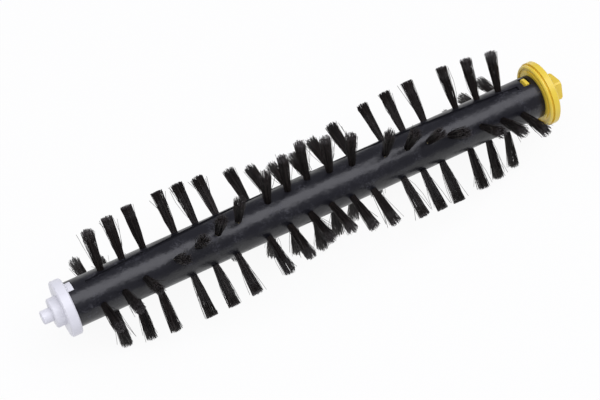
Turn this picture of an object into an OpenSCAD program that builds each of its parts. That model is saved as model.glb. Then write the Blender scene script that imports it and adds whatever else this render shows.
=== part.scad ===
// Roller brush of an upright vacuum or carpet sweeper, lying on its bristle tips.
// X runs along the roller, from the idle journal's shoulder at X = 0 to the drive cap.
// Z is up. An angle round the roller is counted from straight up, towards the front (-Y).

/* [Tube] */
// Outer diameter of the tube
tube_d = 20; // [18:0.5:26]
// Length of the tube between the two caps
tube_len = 226; // [220:1:320]
// Bore that runs through the tube
bore_d = 7.6; // [4:0.2:8]
// Diameter of the wider socket at each end
socket_d = 16; // [15:0.5:17]
// Depth of each socket
socket_depth = 9; // [8.8:0.1:9.4]
// Chamfer round both ends of the tube
tube_edge = 0.3; // [0.1:0.1:0.6]

/* [Tufts] */
// Diameter over the trimmed tips
brush_d = 58; // [48:1:72]
// Distance from each end of the tube to the last tuft of the longer rows
row_margin = 11.55; // [11:0.05:14]
// Step from the last tuft of a group to the first of the next
group_gap = 15.2; // [11:0.1:15.8]
// Angle that a row turns round the tube, from the middle of the tube to its end
row_sweep_angle = 96; // [60:1:106]
// Diameter of a drilled tuft hole
hole_d = 3; // [2.6:0.1:3.4]
// Depth of a tuft hole below the tube's surface
hole_depth = 5; // [4.5:0.1:5.2]
// Diameter of a tuft where it leaves the tube
neck_d = 3.3; // [3.2:0.1:4]
// Diameter of a tuft at its trimmed tip
tip_d = 5.7; // [4.4:0.1:6.6]
// How far the tips that carry the brush are pressed in
flat_spot = 0.5; // [0.3:0.1:0.8]

/* [Anchors] */
// Width of the wire anchor that a tuft is folded over
anchor_w = 2.5; // [2:0.1:2.5]
// Thickness of the anchor
anchor_t = 0.5; // [0.3:0.1:0.7]
// Height of the anchor from the bottom of the hole
anchor_h = 1.8; // [1.2:0.1:2.4]

/* [Scissor groove] */
// Width of the groove that guides a blade when hair is cut away
groove_w = 2.2; // [1.6:0.1:2.6]
// Depth of the groove
groove_depth = 0.9; // [0.5:0.1:1.2]
// Angle that the groove turns round the tube, from the middle of the tube to its end
groove_sweep_angle = 53; // [35:1:65]
// Angle from the row in front of it to the groove, in the middle of the tube
groove_lag_angle = 34.5; // [30:0.5:40]
// Distance from each end of the tube to the groove
groove_margin = 8.5; // [6:0.5:14]

/* [Snap fits] */
// Radial clearance of a plug in its socket
plug_gap = 0.1; // [0.05:0.05:0.3]
// Wall of a plug
plug_wall = 1.5; // [1.2:0.1:2]
// Length of a plug
plug_len = 8.4; // [8.2:0.1:8.6]
// Width of a snap hook across its arm
hook_w = 4.8; // [4:0.1:5.4]
// Length of a snap hook along the tube
hook_len = 2.2; // [1.8:0.1:2.4]
// Distance from the tube's end to the middle of a snap hook
hook_from_end = 3.9; // [3.8:0.1:4.2]
// Width of the slit on each side of a snap arm
slit_w = 0.8; // [0.5:0.1:1]
// Clearance all round a hook or key in its window
window_gap = 0.8; // [0.4:0.1:0.9]
// How far a hook or key stays below the tube's surface
hook_inset = 0.2; // [0.1:0.1:0.5]
// Width of the key that locates the idle cap
key_w = 6.2; // [5:0.1:7]
// Length of the key
key_len = 2.9; // [2:0.1:3.4]

/* [Drive cap] */
// Diameter of the drive flange
drive_flange_d = 29.8; // [27:0.2:34]
// Thickness of the outer disc of the drive flange
drive_disc_t = 3; // [2:0.1:4]
// Diameter of the lip beside the tube
drive_lip_d = 28.6; // [26:0.2:29.6]
// Thickness of the lip
drive_lip_t = 1.1; // [0.8:0.1:1.8]
// Width of the groove between the lip and the disc
rim_groove_w = 0.7; // [0.4:0.1:1.2]
// Depth of that groove below the lip
rim_groove_depth = 0.7; // [0.4:0.1:1.4]
// Width across the flats of the square drive boss
boss_w = 9.6; // [8:0.1:12]
// Length of the drive boss
boss_len = 7.1; // [5:0.1:10]
// Diameter that rounds the corners of the boss
boss_round_d = 12.7; // [11:0.1:13]
// Depth of the ring-shaped relief in the inner face of the flange
relief_depth = 0.6; // [0.3:0.1:0.9]
// Width of that relief
relief_w = 1.6; // [1:0.1:2]

/* [Idle cap] */
// Diameter of the idle flange
idle_flange_d = 25; // [22:0.5:29]
// Thickness of the idle flange
idle_flange_t = 4.7; // [3:0.1:6]
// Diameter of the journal
journal_d = 13; // [10:0.2:16]
// Length of the journal
journal_len = 4; // [3:0.1:6]
// Diameter of the pivot at the end of the journal
pivot_d = 6; // [4:0.2:8]
// Length of the pivot
pivot_len = 4.5; // [3:0.1:8]
// Chamfer on the edges of both caps
edge = 0.5; // [0.2:0.1:0.7]

/* [Hidden] */
$fn = 64;
tube_r = tube_d / 2;
brush_r = brush_d / 2;
mid_x = idle_flange_t + tube_len / 2;
drive_x = idle_flange_t + tube_len;
drive_flange_t = drive_lip_t + rim_groove_w + drive_disc_t;
plug_r = socket_d / 2 - plug_gap;
hook_r = tube_r - hook_inset;

// Tufts in each group of a row. Rows of the two kinds take turns round the tube.
group_counts = [[3, 4, 5, 4, 3], [3, 3, 6, 3, 3]];
rows = len(group_counts) * 2;
row_step = 360 / rows;
groups = len(group_counts[0]);
longest_row = max([for (kind = group_counts) sum(kind, groups)]);
tuft_pitch = (tube_len - 2 * row_margin - (groups - 1) * group_gap) / (longest_row - groups);
row_rate = row_sweep_angle / (tube_len / 2);
groove_rate = groove_sweep_angle / (tube_len / 2);

// The brush settles where the gap beside the middle group of row 1 faces down.
middle_reach = (group_counts[0][2] - 1) / 2 * tuft_pitch + group_gap / 2;
first_row_angle = 180 - row_rate * middle_reach;
floor_z = -(brush_r - flat_spot);

// The snap hooks, the key and the flats of the boss line up with the middle of row 3.
hook_angle = first_row_angle + 2 * row_step;
groove_angle = hook_angle - groove_lag_angle;
groove_len = tube_len / 2 - groove_margin;
overcut = 1;

// Extra length that lets touching solids of one piece join
weld = 0.4;
hole_clear = 0.05;
hook_lead = 0.8;
key_clear = 0.2;
neck_rise = 0.2;
groove_slices = 20;

function sum(list, n) = n == 0 ? 0 : list[n - 1] + sum(list, n - 1);
function counts(row) = group_counts[(row - 1) % len(group_counts)];
function row_span(row) =
    (sum(counts(row), groups) - groups) * tuft_pitch + (groups - 1) * group_gap;
function before(row, group) =
    (sum(counts(row), group - 1) - group + 1) * tuft_pitch + (group - 1) * group_gap;

// Distance of a tuft from the middle of the tube, and its angle round the tube
function tuft_x(row, group, i) = before(row, group) + i * tuft_pitch - row_span(row) / 2;
function tuft_angle(row, x) = first_row_angle + (row - 1) * row_step + row_rate * abs(x);

function group_name(row, group) = str("bristles_", row, "_", group);
function anchor_name(row) = str("anchors_", row);

// Turns a shape built along Z so that it runs along X
module along_x() {
    rotate([0, 90, 0]) children();
}

// Puts a shape built along Z on a radius of the roller
module on_radius(x, angle) {
    translate([x, 0, 0]) rotate([angle, 0, 0]) children();
}

module at_each_tuft(row, first_group, last_group) {
    for (group = [first_group:last_group], i = [0:counts(row)[group - 1] - 1]) {
        x = tuft_x(row, group, i);
        on_radius(mid_x + x, tuft_angle(row, x)) children();
    }
}

// A rod along X with a chamfer at one end or at both
module rod(d, len, start = 0, end = 0) {
    along_x() rotate_extrude() polygon([
        [0, 0], [d / 2 - start, 0], [d / 2, start],
        [d / 2, len - end], [d / 2 - end, len], [0, len]
    ]);
}

// Half of the groove's cutter, from the middle of the tube towards the drive end
module groove_cutter() {
    along_x() rotate(180)
        linear_extrude(height = groove_len, twist = -groove_rate * groove_len,
                       slices = groove_slices, segments = 1)
            translate([tube_r - groove_depth, -groove_w / 2])
                square([groove_depth + overcut, groove_w]);
}

// A pair of openings through the tube's wall, one on each side
module wall_windows(x, len, w) {
    on_radius(x, hook_angle) cube([len, w, tube_d + 2 * overcut], center = true);
}

module roller_tube() {
    hook_window = [hook_len + 2 * window_gap, hook_w + 2 * window_gap];
    color("#1a1a1f") difference() {
        translate([idle_flange_t, 0, 0]) rod(tube_d, tube_len, tube_edge, tube_edge);
        translate([idle_flange_t - overcut, 0, 0]) rod(bore_d, tube_len + 2 * overcut);
        translate([idle_flange_t - overcut, 0, 0]) rod(socket_d, socket_depth + overcut);
        translate([drive_x - socket_depth, 0, 0]) rod(socket_d, socket_depth + overcut);
        wall_windows(drive_x - hook_from_end, hook_window[0], hook_window[1]);
        wall_windows(idle_flange_t, 2 * (key_len + key_clear), key_w + 2 * key_clear);
        for (side = [0, 1])
            translate([mid_x, 0, 0]) mirror([side, 0, 0]) rotate([groove_angle, 0, 0]) groove_cutter();
        for (row = [1:rows])
            at_each_tuft(row, 1, groups)
                translate([0, 0, tube_r - hole_depth]) cylinder(d = hole_d, h = hole_depth + overcut);
    }
}

// The hollow plug that both caps have, from a flange at X = 0 towards +X
module plug() {
    difference() {
        translate([-weld, 0, 0]) rod(2 * plug_r, plug_len + weld, 0, edge);
        rod(2 * (plug_r - plug_wall), plug_len + overcut);
    }
}

// The two slits that free a snap arm on each side of the plug
module arm_slits() {
    slit_from = hook_from_end - hook_len / 2 - slit_w;
    for (side = [-1, 1])
        translate([slit_from, side * (hook_w + slit_w) / 2 - slit_w / 2, -tube_d])
            cube([plug_len, slit_w, 2 * tube_d]);
}

// Hook with a sloped lead-in, on the upper arm of a plug that points along +X
module hook() {
    hook_x = hook_from_end - hook_len / 2;
    base_z = plug_r - weld;
    intersection() {
        translate([0, hook_w / 2, 0]) rotate([90, 0, 0]) linear_extrude(hook_w) polygon([
            [hook_x, base_z], [hook_x, tube_r], [hook_x + hook_len - hook_lead, tube_r],
            [hook_x + hook_len, plug_r], [hook_x + hook_len, base_z]
        ]);
        rod(2 * hook_r, plug_len);
    }
}

// Plug of the drive cap, with its two snap arms
module drive_plug() {
    difference() {
        plug();
        arm_slits();
    }
    for (side = [0, 1]) rotate([180 * side, 0, 0]) hook();
}

// Square boss with corners rounded on a larger circle
module drive_boss() {
    translate([-weld, 0, 0]) intersection() {
        translate([0, -boss_w / 2, -boss_w / 2]) cube([boss_len + weld, boss_w, boss_w]);
        rod(boss_round_d, boss_len + weld, 0, edge);
    }
}

module drive_cap() {
    lip_r = drive_lip_d / 2;
    disc_r = drive_flange_d / 2;
    groove_r = lip_r - rim_groove_depth;
    disc_x = drive_lip_t + rim_groove_w;
    relief_r = (lip_r + tube_r) / 2;
    color("#f6cf1c") translate([drive_x, 0, 0]) rotate([hook_angle, 0, 0]) {
        difference() {
            along_x() rotate_extrude() polygon([
                [0, 0], [lip_r - edge, 0], [lip_r, edge], [lip_r, drive_lip_t],
                [groove_r, drive_lip_t], [groove_r, disc_x], [disc_r, disc_x],
                [disc_r, drive_flange_t - edge], [disc_r - edge, drive_flange_t], [0, drive_flange_t]
            ]);
            difference() {
                translate([-overcut, 0, 0]) rod(2 * relief_r + relief_w, relief_depth + overcut);
                translate([-2 * overcut, 0, 0]) rod(2 * relief_r - relief_w, relief_depth + 3 * overcut);
            }
        }
        translate([drive_flange_t, 0, 0]) drive_boss();
        mirror([1, 0, 0]) drive_plug();
    }
}

// The keys that sit in the notches at the idle end of the tube
module keys() {
    intersection() {
        translate([0, -key_w / 2, -tube_d]) cube([key_len, key_w, 2 * tube_d]);
        difference() {
            rod(2 * hook_r, key_len);
            translate([-overcut, 0, 0]) rod(2 * (plug_r - weld), key_len + 2 * overcut);
        }
    }
}

module idle_cap() {
    color("#f3f1f6") rotate([hook_angle, 0, 0]) {
        rod(idle_flange_d, idle_flange_t, edge, edge);
        translate([-journal_len, 0, 0]) rod(journal_d, journal_len + weld, edge, 0);
        translate([-journal_len - pivot_len, 0, 0]) rod(pivot_d, pivot_len + weld, edge, 0);
        translate([idle_flange_t, 0, 0]) {
            plug();
            keys();
        }
    }
}

// Wire anchor across the bottom of a tuft hole
module anchor() {
    translate([-anchor_w / 2, -anchor_t / 2, tube_r - hole_depth]) cube([anchor_w, anchor_t, anchor_h]);
}

module anchors(row) {
    color("#c9b98a") at_each_tuft(row, 1, groups) anchor();
}

// One tuft, folded over its anchor, that fans out to a tip trimmed round as the roller turns
module tuft() {
    root = tube_r - hole_depth;
    root_r = hole_d / 2 - hole_clear;
    neck_z = tube_r + neck_rise;
    difference() {
        intersection() {
            rotate_extrude() polygon([
                [0, root], [root_r, root], [root_r, neck_z], [neck_d / 2, neck_z + neck_rise],
                [tip_d / 2, brush_r], [tip_d / 2, brush_r + overcut], [0, brush_r + overcut]
            ]);
            translate([-tip_d, 0, 0]) rod(brush_d, 2 * tip_d);
        }
        translate([-hole_d, -anchor_t / 2, root - overcut]) cube([2 * hole_d, anchor_t, anchor_h + overcut]);
    }
}

module bristles(row, group) {
    color("#241f1c") intersection() {
        at_each_tuft(row, group, group) tuft();
        translate([0, -brush_d, floor_z]) cube([2 * mid_x, 2 * brush_d, 2 * brush_d]);
    }
}

roller_tube();
drive_cap();
idle_cap();
for (row = [1:rows])
    anchors(row);
for (row = [1:rows], group = [1:groups])
    bristles(row, group);
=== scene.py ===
"""Looks for a carpet roller brush: gloss black tube, fanned nylon tufts, yellow and white caps."""

import math

import bpy
import numpy as np
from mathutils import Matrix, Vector


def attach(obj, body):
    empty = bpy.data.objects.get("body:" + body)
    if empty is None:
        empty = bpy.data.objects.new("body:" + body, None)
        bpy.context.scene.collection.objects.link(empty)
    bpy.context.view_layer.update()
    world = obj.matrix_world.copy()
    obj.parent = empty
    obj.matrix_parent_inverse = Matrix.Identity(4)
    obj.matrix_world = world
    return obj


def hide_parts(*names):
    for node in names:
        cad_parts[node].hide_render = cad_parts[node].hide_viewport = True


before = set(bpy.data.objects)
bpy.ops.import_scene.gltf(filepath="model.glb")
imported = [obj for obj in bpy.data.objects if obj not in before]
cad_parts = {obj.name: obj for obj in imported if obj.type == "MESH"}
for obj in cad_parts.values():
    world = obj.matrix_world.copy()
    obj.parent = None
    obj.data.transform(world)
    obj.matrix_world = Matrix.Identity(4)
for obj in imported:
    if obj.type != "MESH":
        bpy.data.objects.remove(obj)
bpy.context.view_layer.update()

# Sizes in millimetres, the same as the CAD model's
MM = 0.001
TUBE_R = 10.0
TUBE_MIDDLE = 117.7
BRUSH_R = 29.0
FLOOR_Z = -28.5
PITCH, GROUP_GAP = 10.15, 15.2
GROUP_COUNTS = ((3, 4, 5, 4, 3), (3, 3, 6, 3, 3))
ROWS, GROUPS = 4, 5
ROW_RATE = 96 / 113
FIRST_ROW_ANGLE = 180 - ROW_RATE * (2 * PITCH + GROUP_GAP / 2)
HOLE_R = 1.4

# Filaments of one tuft: their number, the strays among them, and their form
FILAMENTS = 150
STRAYS = 7
FILAMENT_R = 0.1
FILAMENT_POINTS = 4
SIDES = 3
ROOT_REACH = TUBE_R - 0.4
TIP_SPREAD = 1.85
STRAY_SPREAD = 4.6

# Spread of the random draws in millimetres: tips, trim, bow, and the same for strays
TIP_JITTER = 0.22
TRIM_JITTER = 0.18
BOW = 0.25
STRAY_BOW = 0.7
STRAY_SHORT = 2.5

# How far a tip slides along the roller for each millimetre that the table presses it up
TIP_SLIDE = 0.8
CUT_END = 0.7

# Camera in metres and degrees, as solved from the photograph
CAMERA_PLACE = (-0.07378, -0.33575, 0.63681)
CAMERA_TURN = (31.130, -0.544, -28.091)
LENS, SENSOR = 103.8, 36

# Table and lamp
TABLE_HALF = 3.0
TABLE_WHITE = 0.93
ROOM_STRENGTH = 0.34
LAMP_OFFSET = (0, -0.14, 1.0)
LAMP_SIZE = (1.6, 0.8)
LAMP_POWER = 11


# Camera, floor and lights

def photo_camera():
    """The camera stands where the photograph was taken from, above the front and to the left."""
    data = bpy.data.cameras.new("camera")
    data.lens = LENS
    data.sensor_width = SENSOR
    data.clip_start, data.clip_end = 0.05, 20
    camera = bpy.data.objects.new("camera", data)
    camera.location = CAMERA_PLACE
    camera.rotation_euler = [math.radians(a) for a in CAMERA_TURN]
    bpy.context.collection.objects.link(camera)
    bpy.context.scene.camera = camera


def node_material(name):
    """An empty node material, with its output."""
    material = bpy.data.materials.new(name)
    material.use_nodes = True
    nodes = material.node_tree.nodes
    nodes.clear()
    return material, nodes, material.node_tree.links, nodes.new("ShaderNodeOutputMaterial")


def table_top():
    """A pale table that shows white to the camera and in the gloss, and still takes a soft shadow."""
    mesh = bpy.data.meshes.new("table_top")
    half, z = TABLE_HALF, FLOOR_Z * MM
    mesh.from_pydata([(-half, -half, z), (half, -half, z), (half, half, z), (-half, half, z)],
                     [], [(0, 1, 2, 3)])
    table = bpy.data.objects.new("table_top", mesh)
    bpy.context.collection.objects.link(table)
    material, nodes, links, out = node_material("table_paper")
    paper = nodes.new("ShaderNodeBsdfDiffuse")
    paper.inputs["Color"].default_value = (0.88, 0.88, 0.88, 1)
    white = nodes.new("ShaderNodeEmission")
    white.inputs["Color"].default_value = (1, 1, 1, 1)
    rays = nodes.new("ShaderNodeLightPath")
    seen = nodes.new("ShaderNodeMath")
    seen.operation = "MAXIMUM"
    share = nodes.new("ShaderNodeMath")
    share.operation = "MULTIPLY"
    share.inputs[1].default_value = TABLE_WHITE
    mix = nodes.new("ShaderNodeMixShader")
    links.new(rays.outputs["Is Camera Ray"], seen.inputs[0])
    links.new(rays.outputs["Is Glossy Ray"], seen.inputs[1])
    links.new(seen.outputs[0], share.inputs[0])
    links.new(share.outputs[0], mix.inputs["Fac"])
    links.new(paper.outputs[0], mix.inputs[1])
    links.new(white.outputs[0], mix.inputs[2])
    links.new(mix.outputs[0], out.inputs["Surface"])
    mesh.materials.append(material)


def room_light():
    """Dim even light from all round, white where the camera looks past the table."""
    world = bpy.data.worlds.new("room")
    bpy.context.scene.world = world
    world.use_nodes = True
    nodes, links = world.node_tree.nodes, world.node_tree.links
    nodes.clear()
    out = nodes.new("ShaderNodeOutputWorld")
    dim = nodes.new("ShaderNodeBackground")
    dim.inputs["Color"].default_value = (0.86, 0.86, 1.0, 1)
    dim.inputs["Strength"].default_value = ROOM_STRENGTH
    white = nodes.new("ShaderNodeBackground")
    white.inputs["Color"].default_value = (1, 1, 1, 1)
    white.inputs["Strength"].default_value = 1
    rays = nodes.new("ShaderNodeLightPath")
    mix = nodes.new("ShaderNodeMixShader")
    links.new(rays.outputs["Is Camera Ray"], mix.inputs["Fac"])
    links.new(dim.outputs[0], mix.inputs[1])
    links.new(white.outputs[0], mix.inputs[2])
    links.new(mix.outputs[0], out.inputs["Surface"])


def soft_box():
    """One long soft lamp almost overhead, which draws the band of light along the tube."""
    data = bpy.data.lights.new("soft_box", "AREA")
    data.shape = "RECTANGLE"
    data.size, data.size_y = LAMP_SIZE
    data.energy = LAMP_POWER
    data.color = (0.93, 0.93, 1.0)
    lamp = bpy.data.objects.new("soft_box", data)
    target = Vector((TUBE_MIDDLE * MM, 0, 0))
    lamp.location = target + Vector(LAMP_OFFSET)
    lamp.rotation_euler = (target - lamp.location).to_track_quat("-Z", "Y").to_euler()
    bpy.context.collection.objects.link(lamp)


# Surface effects and finishes

def scuff_group():
    """Handling marks: a mask of fine scuffs in patches, and a height for the uneven skin under them."""
    group = bpy.data.node_groups.new("handling_marks", "ShaderNodeTree")
    for name, default in (("Patch Scale", 90.0), ("Scratch Scale", 900.0), ("Amount", 0.5)):
        socket = group.interface.new_socket(name=name, in_out="INPUT", socket_type="NodeSocketFloat")
        socket.default_value = default
    group.interface.new_socket(name="Mask", in_out="OUTPUT", socket_type="NodeSocketFloat")
    group.interface.new_socket(name="Height", in_out="OUTPUT", socket_type="NodeSocketFloat")
    nodes, links = group.nodes, group.links
    inside, outside = nodes.new("NodeGroupInput"), nodes.new("NodeGroupOutput")
    place = nodes.new("ShaderNodeTexCoord")
    patch = nodes.new("ShaderNodeTexNoise")
    patch.inputs["Detail"].default_value = 3
    scratch = nodes.new("ShaderNodeTexNoise")
    scratch.inputs["Detail"].default_value = 5
    scratch.inputs["Distortion"].default_value = 1.5
    links.new(place.outputs["Object"], patch.inputs["Vector"])
    links.new(place.outputs["Object"], scratch.inputs["Vector"])
    links.new(inside.outputs["Patch Scale"], patch.inputs["Scale"])
    links.new(inside.outputs["Scratch Scale"], scratch.inputs["Scale"])
    where = nodes.new("ShaderNodeMapRange")
    where.inputs["From Min"].default_value = 0.48
    where.inputs["From Max"].default_value = 0.68
    fine = nodes.new("ShaderNodeMapRange")
    fine.inputs["From Min"].default_value = 0.5
    fine.inputs["From Max"].default_value = 0.62
    links.new(patch.outputs["Fac"], where.inputs["Value"])
    links.new(scratch.outputs["Fac"], fine.inputs["Value"])
    both = nodes.new("ShaderNodeMath")
    both.operation = "MULTIPLY"
    links.new(where.outputs[0], both.inputs[0])
    links.new(fine.outputs[0], both.inputs[1])
    amount = nodes.new("ShaderNodeMath")
    amount.operation = "MULTIPLY"
    links.new(both.outputs[0], amount.inputs[0])
    links.new(inside.outputs["Amount"], amount.inputs[1])
    links.new(amount.outputs[0], outside.inputs["Mask"])
    links.new(patch.outputs["Fac"], outside.inputs["Height"])
    return group


def mix_colour(nodes, links, mask, base, marked):
    """Base colour that turns to the marked colour where the mask is 1."""
    mix = nodes.new("ShaderNodeMix")
    mix.data_type = "RGBA"
    mix.inputs["A"].default_value = (*base, 1)
    mix.inputs["B"].default_value = (*marked, 1)
    links.new(mask, mix.inputs["Factor"])
    return mix.outputs["Result"]


def moulded_plastic(name, marks, base, marked, smooth, rough, patch_scale, scratch_scale, amount,
                    skin):
    """Gloss moulded plastic with patches of scuffs and a slightly uneven skin."""
    material, nodes, links, out = node_material(name)
    group = nodes.new("ShaderNodeGroup")
    group.node_tree = marks
    group.inputs["Patch Scale"].default_value = patch_scale
    group.inputs["Scratch Scale"].default_value = scratch_scale
    group.inputs["Amount"].default_value = amount
    shader = nodes.new("ShaderNodeBsdfPrincipled")
    links.new(mix_colour(nodes, links, group.outputs["Mask"], base, marked), shader.inputs["Base Color"])
    roughness = nodes.new("ShaderNodeMapRange")
    roughness.inputs["To Min"].default_value = smooth
    roughness.inputs["To Max"].default_value = rough
    links.new(group.outputs["Mask"], roughness.inputs["Value"])
    links.new(roughness.outputs[0], shader.inputs["Roughness"])
    bump = nodes.new("ShaderNodeBump")
    bump.inputs["Strength"].default_value = 1
    bump.inputs["Distance"].default_value = skin
    links.new(group.outputs["Height"], bump.inputs["Height"])
    links.new(bump.outputs["Normal"], shader.inputs["Normal"])
    links.new(shader.outputs[0], out.inputs["Surface"])
    return material


def tuft_nylon():
    """Near black nylon, a little browner in some filaments and greyer at the cut ends."""
    material, nodes, links, out = node_material("tuft_nylon")
    shader = nodes.new("ShaderNodeBsdfPrincipled")
    shader.inputs["Roughness"].default_value = 0.42
    shader.inputs["Specular IOR Level"].default_value = 0.4
    island = nodes.new("ShaderNodeNewGeometry")
    shade = mix_colour(nodes, links, island.outputs["Random Per Island"],
                       (0.006, 0.005, 0.005), (0.03, 0.022, 0.018))
    place = nodes.new("ShaderNodeTexCoord")
    off_axis = nodes.new("ShaderNodeVectorMath")
    off_axis.operation = "MULTIPLY"
    off_axis.inputs[1].default_value = (0, 1, 1)
    reach = nodes.new("ShaderNodeVectorMath")
    reach.operation = "LENGTH"
    links.new(place.outputs["Object"], off_axis.inputs[0])
    links.new(off_axis.outputs[0], reach.inputs[0])
    cut_end = nodes.new("ShaderNodeMapRange")
    cut_end.inputs["From Min"].default_value = (BRUSH_R - CUT_END) * MM
    cut_end.inputs["From Max"].default_value = BRUSH_R * MM
    cut_end.inputs["To Max"].default_value = 0.7
    links.new(reach.outputs["Value"], cut_end.inputs["Value"])
    mix = nodes.new("ShaderNodeMix")
    mix.data_type = "RGBA"
    mix.inputs["B"].default_value = (0.09, 0.08, 0.08, 1)
    links.new(cut_end.outputs[0], mix.inputs["Factor"])
    links.new(shade, mix.inputs["A"])
    links.new(mix.outputs["Result"], shader.inputs["Base Color"])
    links.new(shader.outputs[0], out.inputs["Surface"])
    return material


def anchor_brass():
    """Drawn flat brass wire of the anchors under the tufts."""
    material, nodes, links, out = node_material("anchor_brass")
    shader = nodes.new("ShaderNodeBsdfPrincipled")
    shader.inputs["Base Color"].default_value = (0.72, 0.6, 0.36, 1)
    shader.inputs["Metallic"].default_value = 1
    shader.inputs["Roughness"].default_value = 0.35
    links.new(shader.outputs[0], out.inputs["Surface"])
    return material


def dress(node, material):
    """Gives a CAD node its finish."""
    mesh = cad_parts[node].data
    mesh.materials.clear()
    mesh.materials.append(material)


# Tufts

def tuft_places(row, group):
    """Place along the tube and angle round it of each tuft in a group, as in the CAD model."""
    counts = GROUP_COUNTS[(row - 1) % 2]
    span = (sum(counts) - GROUPS) * PITCH + (GROUPS - 1) * GROUP_GAP
    first = (sum(counts[:group - 1]) - group + 1) * PITCH + (group - 1) * GROUP_GAP
    for i in range(counts[group - 1]):
        x = first + i * PITCH - span / 2
        yield TUBE_MIDDLE + x, FIRST_ROW_ANGLE + 90 * (row - 1) + ROW_RATE * abs(x)


def in_a_disc(random, count, radius):
    """Even random places in a disc."""
    r = radius * np.sqrt(random.random(count))
    a = 2 * math.pi * random.random(count)
    return np.stack([r * np.cos(a), r * np.sin(a)], 1)


def tuft_lines(random, x, angle):
    """Centre lines of one tuft's filaments, from inside their hole to the trimmed tips."""
    count = FILAMENTS + STRAYS
    root = in_a_disc(random, count, HOLE_R)
    tip = root * TIP_SPREAD + random.normal(0, TIP_JITTER, (count, 2))
    tip[FILAMENTS:] = in_a_disc(random, STRAYS, STRAY_SPREAD)
    length = np.full(count, BRUSH_R) - np.abs(random.normal(0, TRIM_JITTER, count))
    length[FILAMENTS:] -= random.random(STRAYS) * STRAY_SHORT
    bow = random.normal(0, BOW, (count, 2))
    bow[FILAMENTS:] = random.normal(0, STRAY_BOW, (STRAYS, 2))
    turn = math.radians(angle)
    across = np.array([0, math.cos(turn), math.sin(turn)])
    out = np.array([0, -math.sin(turn), math.cos(turn)])
    along = np.array([1.0, 0, 0])
    lines = np.zeros((count, FILAMENT_POINTS, 3))
    for k, share in enumerate(np.linspace(0, 1, FILAMENT_POINTS)):
        side = root + (tip - root) * share + bow * math.sin(math.pi * share)
        reach = ROOT_REACH + (length - ROOT_REACH) * share
        lines[:, k] = (np.array([x, 0, 0]) + side[:, :1] * along + side[:, 1:] * across
                       + reach[:, None] * out)
    # The tips that carry the brush bend on the table
    low = FLOOR_Z + FILAMENT_R
    pressed = np.clip(low - lines[:, :, 2], 0, None)
    lines[:, :, 2] += pressed
    lines[:, :, 0] += pressed * TIP_SLIDE * np.sign(root[:, :1])
    return lines


def tube_mesh(name, lines, radius):
    """One mesh of thin three-sided rods along the lines, with closed tips."""
    count, points, _ = lines.shape
    step = np.gradient(lines, axis=1)
    step /= np.linalg.norm(step, axis=2, keepdims=True)
    side = np.cross(step, np.array([1.0, 0.3, 0.2]))
    side /= np.linalg.norm(side, axis=2, keepdims=True)
    up = np.cross(step, side)
    turns = 2 * math.pi * np.arange(SIDES) / SIDES
    ring = (side[:, :, None] * np.cos(turns)[:, None] + up[:, :, None] * np.sin(turns)[:, None])
    corners = lines[:, :, None] + ring * radius[:, None, None, None]
    first = (np.arange(count) * points * SIDES)[:, None, None]
    ring_start = (np.arange(points - 1) * SIDES)[None, :, None]
    here = np.arange(SIDES)[None, None, :]
    there = (here + 1) % SIDES
    a = first + ring_start + here
    b = first + ring_start + there
    walls = np.stack([a, b, b + SIDES, a + SIDES], -1).reshape(-1, 4)
    tips = (first[:, 0] + (points - 1) * SIDES + np.arange(SIDES)[None]).reshape(-1, SIDES)
    mesh = bpy.data.meshes.new(name)
    mesh.from_pydata((corners.reshape(-1, 3) * MM).tolist(), [], walls.tolist() + tips.tolist())
    mesh.shade_smooth()
    return mesh


def tufts(row, group, material):
    """One group of tufts, which stands for the plain solids of the same group."""
    name = f"bristles_{row}_{group}"
    random = np.random.default_rng(100 * row + group)
    lines = np.concatenate([tuft_lines(random, x, angle) for x, angle in tuft_places(row, group)])
    radius = FILAMENT_R * random.uniform(0.85, 1.15, len(lines))
    mesh = tube_mesh("tufts_" + name, lines, radius)
    mesh.materials.append(material)
    piece = bpy.data.objects.new(f"tufts_{row}_{group}", mesh)
    bpy.context.collection.objects.link(piece)
    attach(piece, "root")
    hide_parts(name)


# The brush

photo_camera()
table_top()
room_light()
soft_box()

marks = scuff_group()
tube_black = moulded_plastic("tube_black", marks, (0.008, 0.008, 0.011), (0.05, 0.05, 0.06),
                             0.3, 0.6, 120, 700, 0.8, 0.0006)
cap_yellow = moulded_plastic("cap_yellow", marks, (0.93, 0.69, 0.07), (0.85, 0.6, 0.1),
                             0.3, 0.5, 200, 900, 0.4, 0.0001)
cap_white = moulded_plastic("cap_white", marks, (0.86, 0.86, 0.88), (0.75, 0.74, 0.76),
                            0.35, 0.5, 200, 900, 0.4, 0.0001)
brass = anchor_brass()
nylon = tuft_nylon()

dress("roller_tube", tube_black)
dress("drive_cap", cap_yellow)
dress("idle_cap", cap_white)
for row in range(1, ROWS + 1):
    dress(f"anchors_{row}", brass)
    for group in range(1, GROUPS + 1):
        tufts(row, group, nylon)

bpy.context.scene.view_settings.view_transform = "Standard"
